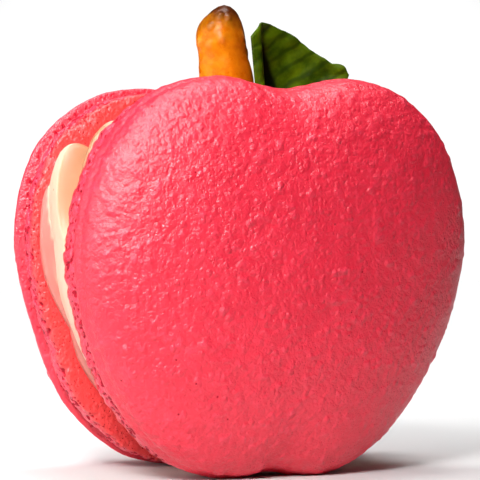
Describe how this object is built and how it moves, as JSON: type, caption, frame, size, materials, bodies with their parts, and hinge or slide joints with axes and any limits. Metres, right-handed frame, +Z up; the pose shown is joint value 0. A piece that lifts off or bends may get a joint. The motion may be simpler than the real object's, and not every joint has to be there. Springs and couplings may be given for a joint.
{
  "type": "filled macaron",
  "caption": "Apple-shaped almond macaron that stands upright: two domed shells with ruffled feet, thick piped cream, a pretzel stick as the stalk and a small folded leaf.",
  "frame": {"origin": "on the table, under the middle of the macaron's box", "axes": "+Z up through the stalk, -Y out of the front shell's dome, +X to the right as the front shell is seen"},
  "size_m": [0.0524, 0.0356, 0.0577],
  "materials": {
    "shell": "matt rose-pink almond meringue with fine bumps, small pits and a porous foot",
    "cream": "smooth ivory butter cream with a soft sheen and a few vanilla specks",
    "pretzel": "glossy golden-brown baked crust, darker at the tip",
    "leaf": "glossy dark green leaf with fine veins"
  },
  "bodies": {
    "root": {"shell_front": "shell", "shell_back": "shell", "cream": "cream", "pretzel_stick": "pretzel", "leaf": "leaf"}
  },
  "joints": []
}
